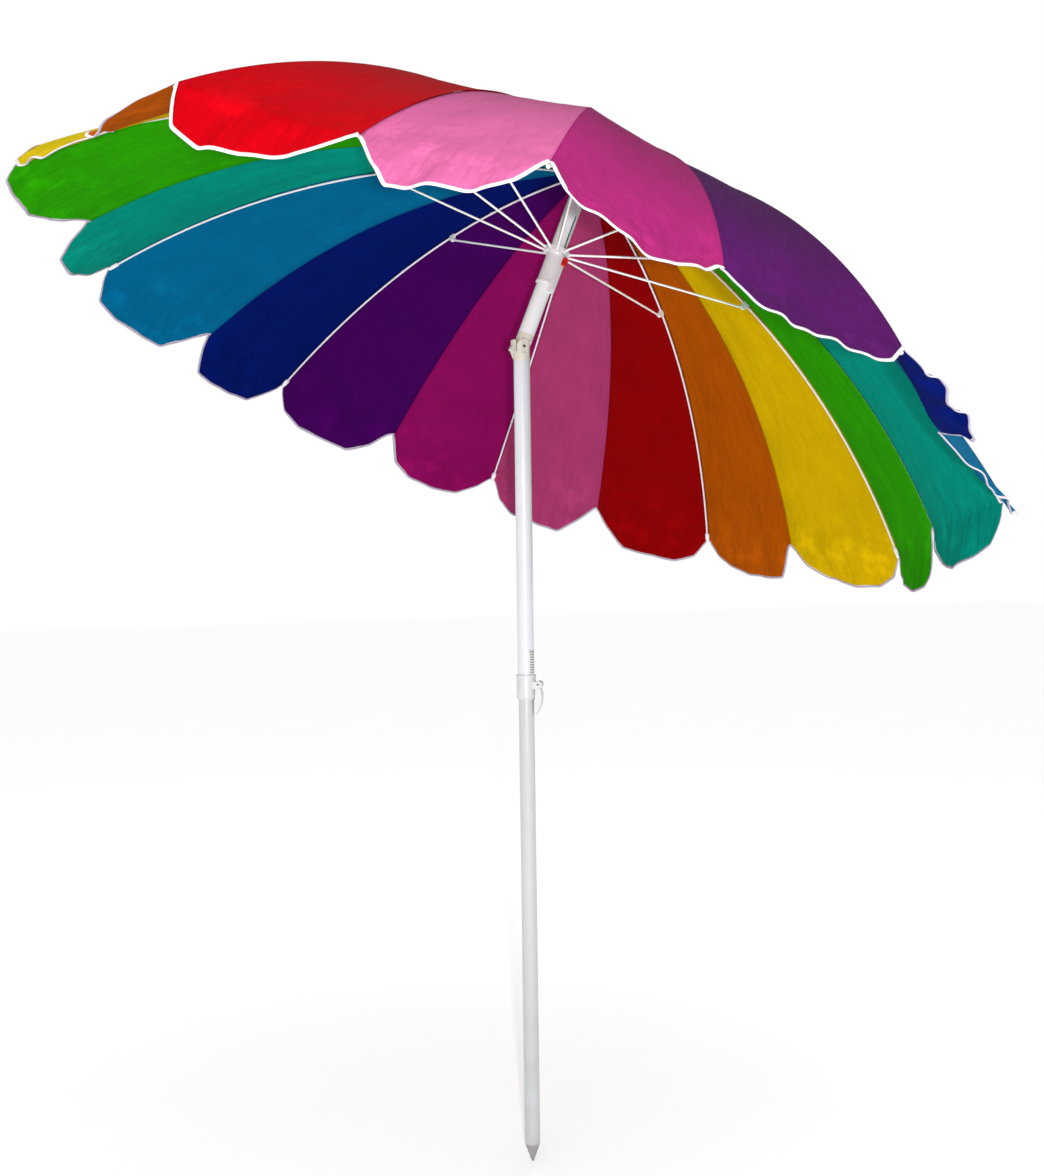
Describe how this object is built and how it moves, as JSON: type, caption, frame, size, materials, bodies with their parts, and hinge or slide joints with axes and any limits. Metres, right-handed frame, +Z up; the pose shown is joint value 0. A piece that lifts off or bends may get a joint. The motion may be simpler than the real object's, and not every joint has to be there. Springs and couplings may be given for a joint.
{
  "type": "beach umbrella",
  "caption": "Tilting beach umbrella: scalloped rainbow cloth canopy on wire ribs, push-up runner, two telescoping tubes with a cam clamp, and a sand spike.",
  "frame": {"origin": "centre of the lower tube's bottom end, where the spike begins", "axes": "+Z up along the pole, +X towards the side that the canopy leans to"},
  "size_m": [1.9253, 2.0628, 2.2088],
  "materials": {
    "tube": "gloss",
    "white_plastic": "satin",
    "inner_plastic": "matte",
    "bare_steel": "satin",
    "dark_steel": "satin",
    "cream_plastic": "satin",
    "red_plastic": "gloss",
    "spike": "satin",
    "wire": "satin",
    "fitting": "satin",
    "cloth": "matte"
  },
  "bodies": {
    "lower": {"lower_pole": "tube", "ground_spike": "spike", "guide_bush": "inner_plastic"},
    "upper": {"upper_pole": "tube", "height_collar": "white_plastic", "clamp_shoe": "inner_plastic", "clamp_pin": "bare_steel", "tilt_socket": "cream_plastic", "tilt_pin": "dark_steel"},
    "lever": {"clamp_lever": "white_plastic"},
    "pawl": {"tilt_pawl": "cream_plastic"},
    "head": {"canopy_pole": "tube", "tilt_knuckle": "cream_plastic", "top_hub": "white_plastic", "hub_ring": "bare_steel", "top_cap": "white_plastic"},
    "catch": {"runner_catch": "bare_steel"},
    "runner": {"runner": "white_plastic", "runner_ring": "bare_steel"},
    "button": {"runner_button": "red_plastic"},
    "rib_arm_1": {"rib_1": "wire", "rib_fittings_1": "fitting", "canopy_gore_1": "cloth"},
    "rib_arm_2": {"rib_2": "wire", "rib_fittings_2": "fitting", "canopy_gore_2": "cloth"},
    "rib_arm_3": {"rib_3": "wire", "rib_fittings_3": "fitting", "canopy_gore_3": "cloth"},
    "rib_arm_4": {"rib_4": "wire", "rib_fittings_4": "fitting", "canopy_gore_4": "cloth"},
    "rib_arm_5": {"rib_5": "wire", "rib_fittings_5": "fitting", "canopy_gore_5": "cloth"},
    "rib_arm_6": {"rib_6": "wire", "rib_fittings_6": "fitting", "canopy_gore_6": "cloth"},
    "rib_arm_7": {"rib_7": "wire", "rib_fittings_7": "fitting", "canopy_gore_7": "cloth"},
    "rib_arm_8": {"rib_8": "wire", "rib_fittings_8": "fitting", "canopy_gore_8": "cloth"},
    "rib_arm_9": {"rib_9": "wire", "rib_fittings_9": "fitting", "canopy_gore_9": "cloth"},
    "rib_arm_10": {"rib_10": "wire", "rib_fittings_10": "fitting", "canopy_gore_10": "cloth"},
    "stretcher_arm_1": {"stretcher_1": "wire"},
    "stretcher_arm_2": {"stretcher_2": "wire"},
    "stretcher_arm_3": {"stretcher_3": "wire"},
    "stretcher_arm_4": {"stretcher_4": "wire"},
    "stretcher_arm_5": {"stretcher_5": "wire"},
    "stretcher_arm_6": {"stretcher_6": "wire"},
    "stretcher_arm_7": {"stretcher_7": "wire"},
    "stretcher_arm_8": {"stretcher_8": "wire"},
    "stretcher_arm_9": {"stretcher_9": "wire"},
    "stretcher_arm_10": {"stretcher_10": "wire"}
  },
  "joints": [
    {"name": "pole_slide", "type": "slide", "parent": "lower", "child": "upper", "axis": [0, 0, 1], "range_m": [-0.52, 0.05]},
    {"name": "clamp_lever_turn", "type": "hinge", "parent": "upper", "child": "lever", "pos_m": [0.02051, -0.02051, 0.981], "axis": [-0.7071, -0.7071, 0], "range_deg": [0, 100]},
    {"name": "canopy_tilt", "type": "hinge", "parent": "upper", "child": "head", "pos_m": [0, 0, 1.697], "axis": [0, 1, 0], "range_deg": [-23, 0]},
    {"name": "tilt_pawl_turn", "type": "hinge", "parent": "upper", "child": "pawl", "pos_m": [-0.019, 0, 1.685], "axis": [0, -1, 0], "range_deg": [0, 14], "stiffness_Nm_per_rad": 0.15},
    {"name": "runner_slide", "type": "slide", "parent": "head", "child": "runner", "axis": [0.3907, 0, 0.9205], "range_m": [-0.085, 0]},
    {"name": "button_press", "type": "slide", "parent": "runner", "child": "button", "axis": [-0.4547, 0.8695, 0.193], "range_m": [0, 0.003], "stiffness_N_per_m": 600},
    {"name": "catch_flex", "type": "hinge", "parent": "head", "child": "catch", "pos_m": [0.12448, -0.01535, 1.9755], "axis": [0.8616, 0.3518, -0.3657], "range_deg": [0, 2.5], "stiffness_Nm_per_rad": 0.4},
    {"name": "rib_1_turn", "type": "hinge", "parent": "head", "child": "rib_arm_1", "pos_m": [0.14138, -0.01185, 2.08348], "axis": [0.4547, -0.8695, -0.193], "range_deg": [0, 5.7]},
    {"name": "rib_2_turn", "type": "hinge", "parent": "head", "child": "rib_arm_2", "pos_m": [0.15146, -0.02186, 2.0792], "axis": [0.8383, -0.4131, -0.3558], "range_deg": [0, 5.7]},
    {"name": "rib_3_turn", "type": "hinge", "parent": "head", "child": "rib_arm_3", "pos_m": [0.16503, -0.02351, 2.07344], "axis": [0.9017, 0.2011, -0.3828], "range_deg": [0, 5.7]},
    {"name": "rib_4_turn", "type": "hinge", "parent": "head", "child": "rib_arm_4", "pos_m": [0.17691, -0.01618, 2.0684], "axis": [0.6207, 0.7385, -0.2635], "range_deg": [0, 5.7]},
    {"name": "rib_5_turn", "type": "hinge", "parent": "head", "child": "rib_arm_5", "pos_m": [0.18255, -0.00267, 2.06601], "axis": [0.1026, 0.9938, -0.0436], "range_deg": [0, 5.7]},
    {"name": "rib_6_turn", "type": "hinge", "parent": "head", "child": "rib_arm_6", "pos_m": [0.1798, 0.01185, 2.06717], "axis": [-0.4547, 0.8695, 0.193], "range_deg": [0, 5.7]},
    {"name": "rib_7_turn", "type": "hinge", "parent": "head", "child": "rib_arm_7", "pos_m": [0.16972, 0.02186, 2.07145], "axis": [-0.8383, 0.4131, 0.3558], "range_deg": [0, 5.7]},
    {"name": "rib_8_turn", "type": "hinge", "parent": "head", "child": "rib_arm_8", "pos_m": [0.15615, 0.02351, 2.07721], "axis": [-0.9017, -0.2011, 0.3828], "range_deg": [0, 5.7]},
    {"name": "rib_9_turn", "type": "hinge", "parent": "head", "child": "rib_arm_9", "pos_m": [0.14428, 0.01618, 2.08225], "axis": [-0.6207, -0.7385, 0.2635], "range_deg": [0, 5.7]},
    {"name": "rib_10_turn", "type": "hinge", "parent": "head", "child": "rib_arm_10", "pos_m": [0.13864, 0.00267, 2.08465], "axis": [-0.1026, -0.9938, 0.0436], "range_deg": [0, 5.7]},
    {"name": "stretcher_1_turn", "type": "hinge", "parent": "runner", "child": "stretcher_arm_1", "pos_m": [0.06792, -0.01185, 1.91043], "axis": [-0.4547, 0.8695, 0.193], "range_deg": [0, 6.6]},
    {"name": "stretcher_2_turn", "type": "hinge", "parent": "runner", "child": "stretcher_arm_2", "pos_m": [0.07801, -0.02186, 1.90615], "axis": [-0.8383, 0.4131, 0.3558], "range_deg": [0, 6.6]},
    {"name": "stretcher_3_turn", "type": "hinge", "parent": "runner", "child": "stretcher_arm_3", "pos_m": [0.09158, -0.02351, 1.90039], "axis": [-0.9017, -0.2011, 0.3828], "range_deg": [0, 6.6]},
    {"name": "stretcher_4_turn", "type": "hinge", "parent": "runner", "child": "stretcher_arm_4", "pos_m": [0.10345, -0.01618, 1.89535], "axis": [-0.6207, -0.7385, 0.2635], "range_deg": [0, 6.6]},
    {"name": "stretcher_5_turn", "type": "hinge", "parent": "runner", "child": "stretcher_arm_5", "pos_m": [0.10909, -0.00267, 1.89295], "axis": [-0.1026, -0.9938, 0.0436], "range_deg": [0, 6.6]},
    {"name": "stretcher_6_turn", "type": "hinge", "parent": "runner", "child": "stretcher_arm_6", "pos_m": [0.10634, 0.01185, 1.89412], "axis": [0.4547, -0.8695, -0.193], "range_deg": [0, 6.6]},
    {"name": "stretcher_7_turn", "type": "hinge", "parent": "runner", "child": "stretcher_arm_7", "pos_m": [0.09626, 0.02186, 1.8984], "axis": [0.8383, -0.4131, -0.3558], "range_deg": [0, 6.6]},
    {"name": "stretcher_8_turn", "type": "hinge", "parent": "runner", "child": "stretcher_arm_8", "pos_m": [0.08269, 0.02351, 1.90416], "axis": [0.9017, 0.2011, -0.3828], "range_deg": [0, 6.6]},
    {"name": "stretcher_9_turn", "type": "hinge", "parent": "runner", "child": "stretcher_arm_9", "pos_m": [0.07082, 0.01618, 1.9092], "axis": [0.6207, 0.7385, -0.2635], "range_deg": [0, 6.6]},
    {"name": "stretcher_10_turn", "type": "hinge", "parent": "runner", "child": "stretcher_arm_10", "pos_m": [0.06518, 0.00267, 1.91159], "axis": [0.1026, 0.9938, -0.0436], "range_deg": [0, 6.6]}
  ],
  "couplings": [
    {"joint": "rib_1_turn", "follows": "runner_slide", "rad_per_m": -1.0903},
    {"joint": "rib_2_turn", "follows": "runner_slide", "rad_per_m": -1.0903},
    {"joint": "rib_3_turn", "follows": "runner_slide", "rad_per_m": -1.0903},
    {"joint": "rib_4_turn", "follows": "runner_slide", "rad_per_m": -1.0903},
    {"joint": "rib_5_turn", "follows": "runner_slide", "rad_per_m": -1.0903},
    {"joint": "rib_6_turn", "follows": "runner_slide", "rad_per_m": -1.0903},
    {"joint": "rib_7_turn", "follows": "runner_slide", "rad_per_m": -1.0903},
    {"joint": "rib_8_turn", "follows": "runner_slide", "rad_per_m": -1.0903},
    {"joint": "rib_9_turn", "follows": "runner_slide", "rad_per_m": -1.0903},
    {"joint": "rib_10_turn", "follows": "runner_slide", "rad_per_m": -1.0903},
    {"joint": "stretcher_1_turn", "follows": "runner_slide", "rad_per_m": -1.2851},
    {"joint": "stretcher_2_turn", "follows": "runner_slide", "rad_per_m": -1.2851},
    {"joint": "stretcher_3_turn", "follows": "runner_slide", "rad_per_m": -1.2851},
    {"joint": "stretcher_4_turn", "follows": "runner_slide", "rad_per_m": -1.2851},
    {"joint": "stretcher_5_turn", "follows": "runner_slide", "rad_per_m": -1.2851},
    {"joint": "stretcher_6_turn", "follows": "runner_slide", "rad_per_m": -1.2851},
    {"joint": "stretcher_7_turn", "follows": "runner_slide", "rad_per_m": -1.2851},
    {"joint": "stretcher_8_turn", "follows": "runner_slide", "rad_per_m": -1.2851},
    {"joint": "stretcher_9_turn", "follows": "runner_slide", "rad_per_m": -1.2851},
    {"joint": "stretcher_10_turn", "follows": "runner_slide", "rad_per_m": -1.2851}
  ]
}
